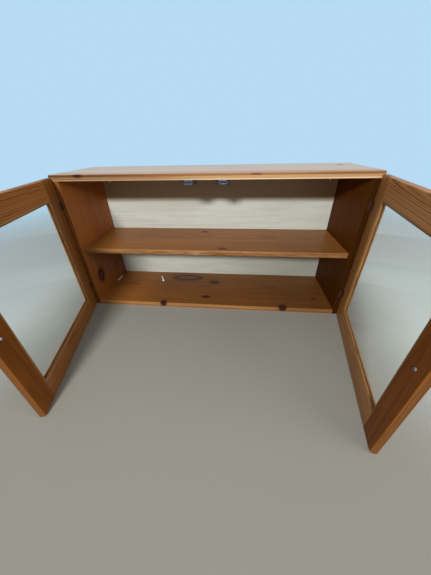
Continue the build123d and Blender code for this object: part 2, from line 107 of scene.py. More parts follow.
class Finish:
    """A socket of a finish's node tree, on which arithmetic adds Math nodes."""

    def __init__(self, tree, socket=None):
        self.tree = tree
        self.socket = socket

    def node(self, kind, settings=None, sockets=None, out=0):
        """Adds a node: its settings first, then the values or links of its sockets."""
        made = self.tree.nodes.new(kind)
        for name, value in (settings or {}).items():
            setattr(made, name, value)
        for name, value in (sockets or {}).items():
            if isinstance(value, Finish):
                self.tree.links.new(value.socket, made.inputs[name])
            else:
                made.inputs[name].default_value = value
        return Finish(self.tree, made.outputs[out] if made.outputs else None)

    def math(self, operation, *values):
        return self.node("ShaderNodeMath", {"operation": operation}, dict(enumerate(values)))

    def __add__(self, other):
        return self.math("ADD", self, other)

    def __radd__(self, other):
        return self.math("ADD", other, self)

    def __sub__(self, other):
        return self.math("SUBTRACT", self, other)

    def __rsub__(self, other):
        return self.math("SUBTRACT", other, self)

    def __mul__(self, other):
        return self.math("MULTIPLY", self, other)

    def __rmul__(self, other):
        return self.math("MULTIPLY", other, self)

    def __truediv__(self, other):
        return self.math("DIVIDE", self, other)

    def __pow__(self, other):
        return self.math("POWER", self, other)

    def __abs__(self):
        return self.math("ABSOLUTE", self)

    def lesser(self, other):
        return self.math("MINIMUM", self, other)

    def greater(self, other):
        return self.math("MAXIMUM", self, other)

    def step(self, start, end):
        """0 before start, 1 after end, and smooth between; start may be the larger."""
        return self.node(
            "ShaderNodeMapRange",
            {"interpolation_type": "SMOOTHSTEP"},
            {"Value": self, "From Min": start, "From Max": end},
        )

    def blend(self, first, second, mode="MIX"):
        """Mixes two colours, by this much of the second."""
        return self.node(
            "ShaderNodeMix",
            {"data_type": "RGBA", "blend_type": mode, "clamp_factor": True},
            {"Factor": self, 6: first, 7: second},
            out=2,
        )

    def scaled(self, by):
        """A vector or colour times a number."""
        return self.node("ShaderNodeVectorMath", {"operation": "SCALE"}, {0: self, "Scale": by})

    def parts(self):
        """The three numbers of a vector."""
        split = self.node("ShaderNodeSeparateXYZ", None, {0: self}).socket.node
        return [Finish(self.tree, output) for output in split.outputs]

    def point(self, x, y, z):
        return self.node("ShaderNodeCombineXYZ", None, {0: x, 1: y, 2: z})

    def place(self):
        """The point on the surface, in metres in the cabinet's own frame."""
        return self.node("ShaderNodeTexCoord", out=3)

    def rays(self, *kinds):
        """1 for light rays of these kinds and 0 for all others."""
        found = self.node("ShaderNodeLightPath").socket.node.outputs
        first, *others = [Finish(self.tree, found[kind]) for kind in kinds]
        return sum(others, first).lesser(1.0)

    def noise(self, where, detail=2.0, roughness=0.5, distortion=0.0):
        """Noise from 0 to 1, about 0.5, one cycle per unit of where."""
        return self.node(
            "ShaderNodeTexNoise",
            None,
            {
                "Vector": where,
                "Scale": 1.0,
                "Detail": detail,
                "Roughness": roughness,
                "Distortion": distortion,
            },
        )


def new_finish(name):
    """An empty material and the maker of its nodes."""
    material = bpy.data.materials.new(name)
    material.use_nodes = True
    material.node_tree.nodes.clear()
    return material, Finish(material.node_tree)


floor_radius = 3.0
floor_fade = (0.95, 2.4)
floor_middle = (0.29, 0.280, 0.245, 1)
# Painted shade in front of the cabinet and painted light at its sides
floor_front_painted_shade = (0.21, 0.208, 0.187, 1)
floor_sides_painted_light = (0.64, 0.70, 0.69, 1)
backdrop_blue = (0.47, 0.71, 0.90, 1)
shadow_light = (0.93, 0.96, 1.0, 1)

disc = bmesh.new()
bmesh.ops.create_circle(disc, cap_ends=True, segments=128, radius=floor_radius)
floor_mesh = bpy.data.meshes.new("floor")
disc.to_mesh(floor_mesh)
disc.free()
floor = bpy.data.objects.new("floor", floor_mesh)
scene.collection.objects.link(floor)

material, make = new_finish("pale_floor")
x, y = make.place().parts()[:2]
# Painted shade darkens the floor in front and painted light makes it paler at the sides.
tone = y.step(-0.35, -0.95).blend(floor_middle, floor_front_painted_shade)
tone = (abs(x).step(0.36, 0.66) * y.step(-0.65, -0.20)).blend(tone, floor_sides_painted_light)
paint = make.node(
    "ShaderNodeBsdfPrincipled",
    None,
    {"Base Color": tone, "Roughness": 0.7, "Specular IOR Level": 0.2},
)
clear = make.node("ShaderNodeBsdfTransparent")
from_middle = (x * x + y * y) ** 0.5
ground = make.node(
    "ShaderNodeMixShader", None, {0: from_middle.step(*floor_fade), 1: paint, 2: clear}
)
make.node("ShaderNodeOutputMaterial", None, {"Surface": ground})
floor.data.materials.append(material)

world = bpy.data.worlds.new("surroundings")
scene.world = world
world.use_nodes = True
world.node_tree.nodes.clear()
sky = Finish(world.node_tree)
seen = sky.rays("Is Camera Ray", "Is Transmission Ray", "Is Glossy Ray")
fill = sky.node("ShaderNodeBackground", None, {"Color": shadow_light, "Strength": 0.30})
backdrop = sky.node("ShaderNodeBackground", None, {"Color": backdrop_blue, "Strength": 1.0})
surroundings = sky.node("ShaderNodeMixShader", None, {0: seen, 1: fill, 2: backdrop})
sky.node("ShaderNodeOutputWorld", None, {"Surface": surroundings})


# ---- Boards of the carcass
# Flat-sawn pine boards, stained orange-brown and thinly varnished, butt-jointed on dowels. Each has
# its own rings and knots and paler, rubbed arrises, and the fronts of the top and bottom boards
# stayed lighter where the shut doors cover them.

X, Y, Z = Vector((1, 0, 0)), Vector((0, 1, 0)), Vector((0, 0, 1))
early_wood = (0.330, 0.118, 0.023)
late_wood = (0.105, 0.028, 0.0045)
dark_streak = (0.15, 0.048, 0.008)
pale_fibre = (0.40, 0.17, 0.045)
rubbed_wood = (0.46, 0.22, 0.075)
joint_line = (0.02, 0.008, 0.003, 1)
knot_wood = (0.038, 0.009, 0.005, 1)
knot_ring = (0.018, 0.005, 0.003, 1)
knot_pale = (0.115, 0.050, 0.036, 1)
knot_halo = (0.090, 0.022, 0.005, 1)
knot_rim = (0.006, 0.003, 0.003, 1)


def span(node, turn_back=Matrix.Identity(4)):
    """The lowest and the highest corner of a piece's box, in the cabinet's frame."""
    points = [turn_back @ vertex.co for vertex in nodes[node].data.vertices]
    low = Vector([min(point[i] for point in points) for i in range(3)])
    high = Vector([max(point[i] for point in points) for i in range(3)])
    return low, high


def close_finish(material, make, sockets, height, bump=0.1, depth=0.3 * mm):
    """Ends a material in a Principled shader, with a height turned into a bump."""
    sockets["Normal"] = make.node(
        "ShaderNodeBump", None, {"Height": height, "Strength": bump, "Distance": depth}
    )
    surface = make.node("ShaderNodeBsdfPrincipled", None, sockets)
    make.node("ShaderNodeOutputMaterial", None, {"Surface": surface})
    return material


def wear(node, material):
    """Gives a CAD node its material."""
    nodes[node].data.materials.clear()
    nodes[node].data.materials.append(material)


def pine(
    name,
    place,
    half,
    seed,
    knots=(),
    pith=(0.012, -0.045),
    ring=0.0034,
    wave=1.0,
    ripple=0.0,
    contrast=1.0,
    tone=1.0,
    tint=(1.0, 1.04, 1.12),
    rub=0.75,
    edge_shade_tint=None,
    gloss=0.22,
    mitred=False,
    shade=None,
):
    """Stained pine with rings round a pith, in board coordinates: along, across and through.

    place and half are the board's place and half its size. pith is where the pith lies across and
    through, ring the width of a ring, wave how much the grain wanders, ripple how far it curls, and
    shade what only this board has. The board's tones and tints are its staining and, on some
    boards, painted light and shade, and the colour given for its slim edges is painted shade. The
    grain of mitred pieces lies along each of them. A knot is its middle, its reach and how pale it
    is, and one that is wholly pale is cut lengthwise, like an eye.
    """
    material, make = new_finish(name)
    whole = make.place()
    centred = make.node(
        "ShaderNodeMapping",
        {"vector_type": "TEXTURE"},
        {"Vector": whole, "Location": place.to_translation(), "Rotation": place.to_euler()},
    )
    along, across, through = centred.parts()
    from_end = half[0] - abs(along)
    from_edge = half[1] - abs(across)
    from_face = half[2] - abs(through)
    if mitred:
        mitre = from_end - from_edge
        upright = mitre.math("LESS_THAN", mitre, 0.0)
        along, across = along + (across - along) * upright, across + (along - across) * upright
    shifted = along + seed * 3.7

    def grain(lengthwise, crosswise, detail=2.0, roughness=0.5):
        """Noise that is drawn out along the board, with its cycles per metre each way."""
        where = make.point(shifted * lengthwise, across * crosswise, through * crosswise)
        return make.noise(where, detail, roughness)

    slow = grain(1.6, 7)
    quick = grain(12, 26)
    grit = grain(130, 190, 3, 0.6)
    fibre = grain(22, 900, 3, 0.6)
    streak = grain(3, 90, 3, 0.6)
    cloud = grain(3, 9, 3)
    bent = across + (slow - 0.5) * (0.045 * wave) + (quick - 0.5) * (0.004 * wave)
    if ripple:
        bent = bent + (grain(38, 14, 1) - 0.5) * ripple
    nearest = None
    paler = None
    for middle, reach, pale in knots:
        dx = (along - middle[0]) / reach[0]
        dy = (across - middle[1]) / reach[1]
        dz = (through - middle[2]) / reach[2]
        flat = (dx * dx + abs(dy)) ** 2 if pale == 1 else dx * dx + dy * dy
        swirl = (flat * -0.16).math("EXPONENT", flat * -0.16)
        bent = bent - dy * swirl * (0.9 * reach[1])
        near = (flat + dz * dz) ** 0.5 + (quick - 0.5) * 0.7 + (grit - 0.5) * 0.35
        nearest = nearest.lesser(near) if nearest else near
        if pale:
            inside = near.step(0.95, 0.55) * pale
            paler = paler.greater(inside) if paler else inside

    pith_slope = 0.03
    depth = through - pith[1] + along * pith_slope
    rings = ((bent - pith[0]) ** 2 + depth**2) ** 0.5 / ring
    uneven = make.noise(make.point(rings * 0.13 + seed, 0.0, 0.0))
    rings = rings + uneven * 5
    year = rings.math("FRACT", rings)
    each = make.node(
        "ShaderNodeTexWhiteNoise",
        {"noise_dimensions": "1D"},
        {"W": rings.math("FLOOR", rings)},
    )
    late = year.step(0.2, 0.93) * year.step(1.0, 0.95) * (each * 0.6 + 0.4)

    def stain_and_light(colour):
        """The wood's colour under this board's staining and, on some boards, painted light and
        shade.
        """
        return (*[part * tone * dye for part, dye in zip(colour, tint)], 1)

    colour = (late * (0.80 * contrast)).lesser(1.0).blend(stain_and_light(early_wood), stain_and_light(late_wood))
    colour = (streak.step(0.35, 0.75) * 0.45).blend(colour, stain_and_light(dark_streak))
    colour = (fibre.step(0.35, 0.8) * 0.20).blend(colour, stain_and_light(pale_fibre))
    colour = colour.scaled(cloud * 0.5 + 0.75)
    if mitred:
        joint = abs(mitre).step(0.4 * mm, 0.1 * mm)
        colour = (joint * 0.85).blend(colour, joint_line)
    if shade:
        colour = shade(make, whole, colour, grit)
    # The colour given for the slim edges is painted shade.
    if edge_shade_tint:
        colour = from_edge.step(0.8 * mm, 0.3 * mm).blend(colour, (*edge_shade_tint, 1), "MULTIPLY")
    arris = from_edge.greater(from_face).step(2.6 * mm, 0.4 * mm)
    colour = (arris * (grit * 0.9 + 0.05) * rub).blend(colour, stain_and_light(rubbed_wood))
    height = fibre * 0.35 - late * 0.5 + streak * 0.3
    if nearest:
        halo = nearest.step(1.9, 0.95)
        heart = nearest.step(1.04, 0.90)
        rim = nearest.step(0.50, 0.86) * heart
        rings_in = (nearest * 5.5).math("FRACT", nearest * 5.5).step(0.3, 0.9)
        core = (rings_in * 0.6).blend(knot_wood, knot_ring)
        if paler:
            core = paler.blend(core, knot_pale)
        colour = (halo * 0.6).blend(colour, knot_halo)
        colour = (heart * 0.96).blend(colour, core)
        colour = (rim * 0.95).blend(colour, knot_rim)
        height = height - rim * 0.8
    sockets = {
        "Base Color": colour,
        "Roughness": fibre * 0.14 + 0.36,
        "Specular IOR Level": gloss,
    }
    return close_finish(material, make, sockets, height, bump=0.25, depth=0.4 * mm)


def pine_piece(node, along, across, swing=Matrix.Identity(4), **figure):
    """Gives a node its own pine, with the grain along it; swing is how far its door stands open."""
    low, high = span(node, swing.inverted())
    axes = (along, across, along.cross(across))
    turn = Matrix(axes).transposed().to_4x4()
    half = [abs(axis.dot(high - low)) / 2 for axis in axes]
    place = swing @ Matrix.Translation((low + high) / 2) @ turn
    wear(node, pine(f"{node}_pine", place, half, **figure))


top_low, top_high = span("top_board")
front_y = top_low.y
door_top = span("left_hinge_stile")[1].z
# Colours of the painted reflection on top, and of the painted shade and painted light on the front.
painted_reflection, streaked_reflection = (0.78, 0.63, 0.51, 1), (0.62, 0.35, 0.21, 1)
shaded_front, lit_front = (0.21, 0.088, 0.028, 1), (0.40, 0.20, 0.085, 1)
blotch_x, blotch_z = 0.119, 0.3965


def top_shade(make, whole, colour, grit):
    """The top board: painted reflection on top; painted light and shade, a knot and a bare strip in
    front.
    """
    x, y, z = whole.parts()
    # The pale layer on top is a painted reflection of the pale room, less pale and streaked towards
    # the front.
    bands = make.noise(make.point(x * 2.5, y * 45, 0.0))
    wear_and_painted_light = y.step(-0.050, -0.100) * (bands.step(0.35, 0.65) * 0.6 + 0.45)
    reflection_paint = wear_and_painted_light.blend(painted_reflection, streaked_reflection).scaled(1.03 - bands.step(0.45, 0.70) * 0.14)
    on_top = z.step(top_high.z - 2.5 * mm, top_high.z - 0.5 * mm)
    dull = (on_top * 0.85).blend(colour, reflection_paint)
    # The front is painted light and shade: darkened all along, lit more towards the right, darkest
    # at the left end.
    front = y.step(front_y + 2 * mm, front_y + 0.8 * mm)
    front_light_and_shade = (front * 0.75).blend(dull, shaded_front)
    front_light_and_shade = (front * (x.step(-0.30, 0.38) * 0.35)).blend(front_light_and_shade, lit_front)
    front_shade = x.step(-0.28, 0.0) * 0.50 + 0.45 - x.step(0.20, 0.30) * 0.22
    front_light_and_shade = front.blend(front_light_and_shade, front_light_and_shade.scaled(front_shade))
    blotch = ((x - blotch_x) / (16 * mm)) ** 2 + ((z - blotch_z) / (3.5 * mm)) ** 2
    front_light_and_shade = (front * blotch.step(1.3, 0.2) * 0.75).blend(front_light_and_shade, (0.115, 0.030, 0.012, 1))
    strip = front * z.step(door_top + 0.8 * mm, door_top - 0.4 * mm)
    lines = make.noise(make.point(x * 4, 0.0, z * 900))
    bare = (lines.step(0.40, 0.62) * 0.6).blend((0.50, 0.31, 0.15, 1), (0.30, 0.145, 0.05, 1))
    lowest = z.step(top_low.z + 3.5 * mm, top_low.z + 1.2 * mm)
    bare = (lowest * 0.85).blend(bare, (0.78, 0.58, 0.36, 1))
    return (strip * (x.step(-0.14, 0.06) * 0.55 + 0.38)).blend(front_light_and_shade, bare)


pine_piece(
    "top_board",
    X,
    Y,
    seed=1,
    rub=0.35,
    shade=top_shade,
    knots=[
        ((0.349, 0.039, 0.0), (0.008, 0.006, 0.03), 0),
        ((-0.322, -0.105, 0.004), (0.012, 0.004, 0.0035), 0),
    ],
)


def bottom_shade(make, whole, colour, grit):
    """The bottom board: bare front where the shut doors kept light off; painted light and shade."""
    x, y, z = whole.parts()
    lines = make.noise(make.point(x * 5, 0.0, z * 700))
    bare = lines.step(0.35, 0.65).blend((0.44, 0.235, 0.085, 1), (0.27, 0.115, 0.034, 1))
    strip = y.step(front_y + 1 * mm, front_y + 0.3 * mm) * z.step(3 * mm, 5 * mm)
    # Painted light brightens the left end and painted shade darkens the right.
    painted_light_colour = colour.scaled(x.step(-0.16, -0.33) * 0.75 + 1 - x.step(0.05, 0.30) * 0.15)
    return (strip * (0.75 - x.step(0.12, 0.28) * 0.50)).blend(painted_light_colour, bare)


pine_piece(
    "bottom_board",
    X,
    Y,
    seed=2,
    shade=bottom_shade,
    contrast=0.7,
    # The darker setting below is painted shade.
    tone=0.62,
    knots=[
        ((-0.110, 0.062, 0.0), (0.057, 0.021, 0.05), 1),
        ((-0.002, 0.034, 0.0), (0.015, 0.0105, 0.05), 0.3),
        ((-0.022, -0.062, 0.0), (0.012, 0.0065, 0.05), 0),
        ((0.336, -0.051, 0.0), (0.008, 0.004, 0.05), 0),
        ((-0.158, -0.102, 0.004), (0.009, 0.010, 0.009), 0),
        ((0.229, -0.102, 0.005), (0.010, 0.011, 0.009), 0),
    ],
)

side_outer = -span("left_side")[0].x


def side_shade(make, whole, colour, grit):
    """The sides: painted shade below the shelf and on the front edges, the right one more."""
    x, y, z = whole.parts()
    right = x.step(0.0, 0.3)
    # Painted shade below the shelf.
    colour = colour.scaled(z.step(0.14, 0.24) * 0.35 + 0.72)
    # A painted shadow of the hinge gap on the outer part of each front edge, and painted shade on
    # the front edges, the most on the right.
    gap_shadow = abs(x).step(side_outer - 5.7 * mm, side_outer - 3.8 * mm)
    wear_and_painted_light = (right * 0.60 + 0.35).greater(gap_shadow * (right * 0.25 + 0.75))
    front = y.step(front_y + 1.5 * mm, front_y + 0.5 * mm)
    return (front * wear_and_painted_light).blend(colour, (0.030, 0.010, 0.002, 1))


# The sides' tones and tints are painted light and shade: the right side is painted far darker than
# the left.
pine_piece(
    "left_side",
    Z,
    Y,
    seed=3,
    contrast=0.6,
    tone=1.05,
    tint=(1.06, 0.98, 1.05),
    rub=0.25,
    gloss=0.10,
    shade=side_shade,
    knots=[
        ((-0.107, -0.056, 0.0), (0.021, 0.0155, 0.03), 0.35),
        ((-0.117, 0.051, 0.0), (0.008, 0.004, 0.03), 0),
    ],
)
pine_piece(
    "right_side",
    Z,
    Y,
    seed=4,
    contrast=0.5,
    tone=0.33,
    tint=(1.1, 0.86, 0.45),
    rub=0.2,
    gloss=0.02,
    shade=side_shade,
)


# ---- Shelf
# One pine board, stained as the carcass is, which lies loose on the four pins. Its front edge is
# worn dark by hands, with pale chips, the most of them just left of its middle.

shelf_front = span("shelf")[0].y
chipped_x = -0.060


def shelf_shade(make, whole, colour, grit):
    """The shelf: painted light at its left end, and its front edge darkened by hands and chipped.
    """
    x, y, z = whole.parts()
    # Painted light brightens the left end.
    painted_light_colour = colour.scaled(x.step(-0.20, -0.34) * 0.20 + 1)
    front = y.step(shelf_front + 3.5 * mm, shelf_front + 0.5 * mm)
    patches = make.noise(make.point(x * 16, 0.0, z * 230), 3, 0.6)
    pale = abs(x - chipped_x).step(0.045, 0.015)
    chipped = patches.step(0.44, 0.66) * (pale * 0.55 + 0.40)
    wear_and_painted_light = (0.55 - grit * 0.2).blend(painted_light_colour, (0.12, 0.048, 0.014, 1))
    wear_and_painted_light = chipped.blend(wear_and_painted_light, (0.46, 0.27, 0.15, 1))
    return front.blend(painted_light_colour, wear_and_painted_light)


pine_piece(
    "shelf",
    X,
    Y,
    seed=5,
    contrast=0.8,
    tint=(0.96, 1.07, 1.22),
    shade=shelf_shade,
    knots=[
        ((-0.034, 0.062, 0.0), (0.011, 0.006, 0.03), 0),
        ((0.036, -0.080, 0.0), (0.012, 0.006, 0.03), 0.3),
    ],
)


# ---- Back panel
# Three-millimetre birch plywood, left pale and nailed into a rebate. Its face veneer has soft
# clouds along the grain. A painted shadow darkens its inner face right under the top board, and
# painted shade greys it low down on both faces, the most on the right.

panel_y = span("back_panel")[0].y
birch, pale_birch = (0.485, 0.500, 0.440, 1), (0.55, 0.580, 0.525, 1)
birch_fibre = (0.44, 0.40, 0.31, 1)
# Colours of painted shade low down and of a painted shadow under the top board.
low_painted_shade, painted_shadow = (0.16, 0.15, 0.11, 1), (0.37, 0.24, 0.11, 1)

material, make = new_finish("birch_plywood")
along, through, up = make.place().parts()
cloud = make.noise(make.point(along * 4, 0.0, up * 14), 3, 0.55, 0.6)
fibre = make.noise(make.point(along * 30, 0.0, up * 700), 3, 0.6)
figure = make.noise(make.point(along * 5, 0.0, up * 150), 2, 0.5, 0.4)
colour = cloud.step(0.25, 0.8).blend(birch, pale_birch)
colour = (fibre.step(0.4, 0.8) * 0.3).blend(colour, birch_fibre)
# Painted shade low down on both faces, the most on the right.
low = up.step(0.19, 0.10) * (along.step(-0.20, 0.36) * 0.60 + 0.03)
colour = low.blend(colour, low_painted_shade)
colour = colour.scaled(1.03 - figure.step(0.44, 0.62) * 0.09)
# A painted shadow of the top board on the inner face.
inner = through.step(panel_y + 2 * mm, panel_y + 1 * mm)
high = inner * up.step(0.288, 0.308) * (along.step(0.25, 0.36) * 0.12 + 0.88)
colour = high.blend(colour, painted_shadow)
close_finish(material, make, {"Base Color": colour, "Roughness": 0.55}, fibre)
wear("back_panel", material)


# ---- Dowels
# Beech dowels with chamfered ends, glued into blind holes, hold the corners of the carcass and of
# the door frames. None of them shows.

material, make = new_finish("beech")
pore = make.noise(make.place().scaled(600))
colour = pore.blend((0.50, 0.32, 0.17, 1), (0.62, 0.43, 0.26, 1))
close_finish(material, make, {"Base Color": colour, "Roughness": 0.6}, pore)
for node in ("carcass_dowels", "left_door_dowels", "right_door_dowels"):
    wear(node, material)


# ---- Shelf pins, nails, hangers and strike plates
# Zinc-plated steel: turned pins that the shelf rests on, the round-headed nails of the back panel,
# pressed keyhole hangers with the nuts that clamp them, and the plates that the catches hold.

scratch_grey = (0.22, 0.21, 0.20, 1)


def zinc_finish(name, dull, bright, metal=1.0, shade=None):
    """Zinc-plated steel between two tones, clouded and finely scratched."""
    material, make = new_finish(name)
    whole = make.place()
    cloudy = make.noise(whole.scaled(150), 3, 0.6)
    scratch = make.noise(whole.scaled(900), 3)
    colour = cloudy.step(0.35, 0.65).blend(dull, bright)
    colour = (scratch.step(0.55, 0.8) * 0.4).blend(colour, scratch_grey)
    if shade:
        colour = shade(whole, colour)
    sockets = {"Base Color": colour, "Metallic": metal, "Roughness": scratch * 0.2 + 0.22}
    return close_finish(material, make, sockets, scratch, depth=0.1 * mm)


zinc = zinc_finish("zinc", (0.46, 0.45, 0.42, 1), (0.66, 0.65, 0.62, 1))
for node in (
    "back_nails",
    "hanger_nuts",
    "shelf_pins",
    "left_hanger",
    "right_hanger",
    "left_strike_plate",
    "right_strike_plate",
):
    wear(node, zinc)


# ---- Magnetic catches
# A black moulded housing is screwed under the top board for each door. In its mouth a ferrite
# magnet lies between two blued steel plates, which pull on the strike plate of the shut door.

black = (0.012, 0.012, 0.014, 1)
poles_low, poles_high = span("right_catch_poles")
catch_x = (poles_low.x + poles_high.x) / 2


def moulded_finish(name, fineness, detail, dark, light, sockets):
    """A dull finish of fine grains between two tones."""
    material, make = new_finish(name)
    grains = make.noise(make.place().scaled(fineness), detail)
    sockets["Base Color"] = grains.blend(dark, light)
    return close_finish(material, make, sockets, grains)


def pole_shade(whole, colour):
    """The pole plates: black at their ends."""
    from_middle = abs(abs(whole.parts()[0]) - catch_x)
    return (from_middle.step(8.5 * mm, 10.5 * mm) * 0.95).blend(colour, black)


plastic = moulded_finish(
    "black_plastic",
    1500,
    2,
    (0.008, 0.008, 0.009, 1),
    (0.02, 0.02, 0.022, 1),
    {"Roughness": 0.5, "Specular IOR Level": 0.15},
)
ferrite = moulded_finish(
    "ferrite",
    900,
    3,
    (0.020, 0.025, 0.034, 1),
    (0.034, 0.041, 0.053, 1),
    {"Roughness": 0.55, "Specular IOR Level": 0.1},
)
blued = zinc_finish(
    "blued_steel", (0.18, 0.20, 0.24, 1), (0.33, 0.36, 0.41, 1), shade=pole_shade
)
for side in ("left", "right"):
    wear(f"{side}_catch_housing", plastic)
    wear(f"{side}_catch_magnet", ferrite)
    wear(f"{side}_catch_poles", blued)


# ---- Hinges
# Pressed steel butt hinges with a dark bronzed finish: one leaf is let into the side and one into
# the door's edge, and their knuckles turn on a pin. High spots are rubbed brighter, painted shade
# darkens the knuckles round the pin, and painted shade makes the hinges on the right far darker.

hinges = [joint for joint in frame["joints"] if joint["type"] == "hinge"]
pin_x, pin_y = hinges[0]["pos_m"][:2]

material, make = new_finish("bronzed_steel")
whole = make.place()
x, y = whole.parts()[:2]
rub = make.noise(whole.scaled(350), 4)
out = abs(x) - abs(pin_x)
back = y - pin_y
# Painted shade round the pin.
pin_painted_shade = ((out * out + back * back) ** 0.5).step(3.4 * mm, 2.6 * mm)
colour = rub.step(0.45, 0.8).blend((0.14, 0.055, 0.018, 1), (0.22, 0.10, 0.040, 1))
# Painted shade makes the hinges on the right far darker.
colour = (x.step(0.0, 0.3) * 0.85).blend(colour, (0.030, 0.010, 0.004, 1))
colour = pin_painted_shade.blend(colour, (0.028, 0.013, 0.007, 1))
sockets = {
    "Base Color": colour,
    "Metallic": 0.1,
    "Roughness": 0.75 - rub * 0.2,
    "Specular IOR Level": 0.1,
}
bronzed = close_finish(material, make, sockets, rub, depth=0.1 * mm)
for side in ("left", "right"):
    for piece in ("carcass_leaves", "hinge_pins", "door_leaves"):
        wear(f"{side}_{piece}", bronzed)


# ---- Screws and bolts
# Rolled steel with a cross recess in the head. Countersunk screws hold the hinges, catches, strike
# plates and hangers, two loose ones are for the wall, and round-headed ones go through the doors
# into the knobs and through the back panel into the hangers.

around = 24  # corners round a head or shank
thread_steps = 7  # rings in one turn of a thread
ridge_sharpness = 3.4
sink = 0.03  # millimetres that a head lies below its seat
hair = 0.01 * mm


def ring(bm, z, radius, ridge=0.0, pitch=1.0):
    """Vertices round Z; a ridge stands out of them where a thread passes."""
    corners = []
    for i in range(around):
        turn = i / around
        off = abs((z / pitch - turn) % 1.0 - 0.5)
        r = radius + ridge * max(0.0, 1.0 - ridge_sharpness * off)
        corners.append(bm.verts.new((r * cos(2 * pi * turn), r * sin(2 * pi * turn), z)))
    return corners


def cross(bm, z, arm, wide):
    """Vertices round a cross."""
    corners = []
    for i in range(4):
        c, s = cos(i * pi / 2), sin(i * pi / 2)
        for u, v in ((wide, -wide), (arm, -wide), (arm, wide)):
            corners.append(bm.verts.new((u * c - v * s, u * s + v * c, z)))
    return corners


def skin(bm, loops):
    """Faces from each loop of vertices to the next."""
    for first, second in zip(loops, loops[1:]):
        for i in range(len(first)):
            j = (i + 1) % len(first)
            bm.faces.new((first[i], first[j], second[j], second[i]))


def screw_mesh(name, shank, head, length, dome, pitch, plain):
    """A screw along +Z in millimetres, the rim of its head at Z = 0.

    shank and head are radii, dome is the height of a round head or 0, and plain is how much of
    the shank has no thread. A screw without a dome ends in a point.
    """
    neck, rim = 0.97 * shank, 0.94 * head
    core, ridge = 0.74 * shank, 0.24 * shank
    bm = bmesh.new()
    if dome:
        bulge = (head**2 + dome**2) / (2 * dome)
        radii = [head * share for share in (0.64, 0.78, 0.90, 0.97)]
        loops = [ring(bm, bulge - dome - (bulge**2 - r**2) ** 0.5, r) for r in radii]
        loops += [ring(bm, 0, head * 0.995), ring(bm, 0, neck)]
        start = 0
    else:
        start = head - shank
        loops = [ring(bm, 0, rim), ring(bm, head * 0.05, rim), ring(bm, start, neck)]
    # The cross recess, narrower at its bottom, in shares of the head's radius
    top = loops[0][0].co.z
    mouth = cross(bm, top, head * 0.56, head * 0.13)
    pit = cross(bm, top + head * 0.5, head * 0.22, head * 0.08)
    skin(bm, [pit, mouth])
    bm.faces.new(pit)
    rims = []
    for loop in (mouth, loops[0]):
        for i in range(len(loop)):
            pair = (loop[i], loop[(i + 1) % len(loop)])
            rims.append(bm.edges.get(pair) or bm.edges.new(pair))
    bmesh.ops.triangle_fill(bm, edges=rims, use_beauty=True)
    z = start + plain
    loops.append(ring(bm, z, neck))
    z += pitch / thread_steps
    while z < length - pitch / thread_steps:
        left = 1 if dome else min(1, (length - z) / (2 * shank))
        loops.append(ring(bm, z, core * left, ridge * left, pitch))
        z += pitch / thread_steps
    if dome:
        loops.append(ring(bm, length, 0.7 * shank))
    skin(bm, loops)
    bm.faces.new(loops[-1])
    bmesh.ops.recalc_face_normals(bm, faces=bm.faces[:])
    mesh = bpy.data.meshes.new(name)
    bm.to_mesh(mesh)
    bm.free()
    return mesh


def screw_places(node, dome):
    """Each screw of a CAD node: the middle of its head's rim and the way that it points.

    The broadest flat of a countersunk screw is the top of its head, and that of a domed one is
    the seat under it and its end.
    """
    bm = bmesh.new()
    bm.from_mesh(nodes[node].data)
    bmesh.ops.remove_doubles(bm, verts=bm.verts[:], dist=hair / 10)
    seen = set()
    places = []
    for face in bm.faces:
        if face.index in seen:
            continue
        seen.add(face.index)
        island = [face]
        for one in island:
            for other in (other for edge in one.edges for other in edge.link_faces):
                if other.index not in seen:
                    seen.add(other.index)
                    island.append(other)
        broad = {}
        for one in island:
            way = tuple(round(part, 2) for part in one.normal)
            broad[way] = broad.get(way, 0) + one.calc_area()
        way = Vector(max(broad, key=broad.get)).normalized()
        flats = [one for one in island if one.normal.dot(way) > 0.999]
        way = sum((one.normal for one in flats), Vector()).normalized()
        seat = {vertex.index: vertex.co.copy() for one in flats for vertex in one.verts}
        low = min(point.dot(way) for point in seat.values())
        rim = [point for point in seat.values() if point.dot(way) < low + hair]
        places.append((sum(rim, Vector()) / len(rim), way if dome else -way))
    bm.free()
    return places


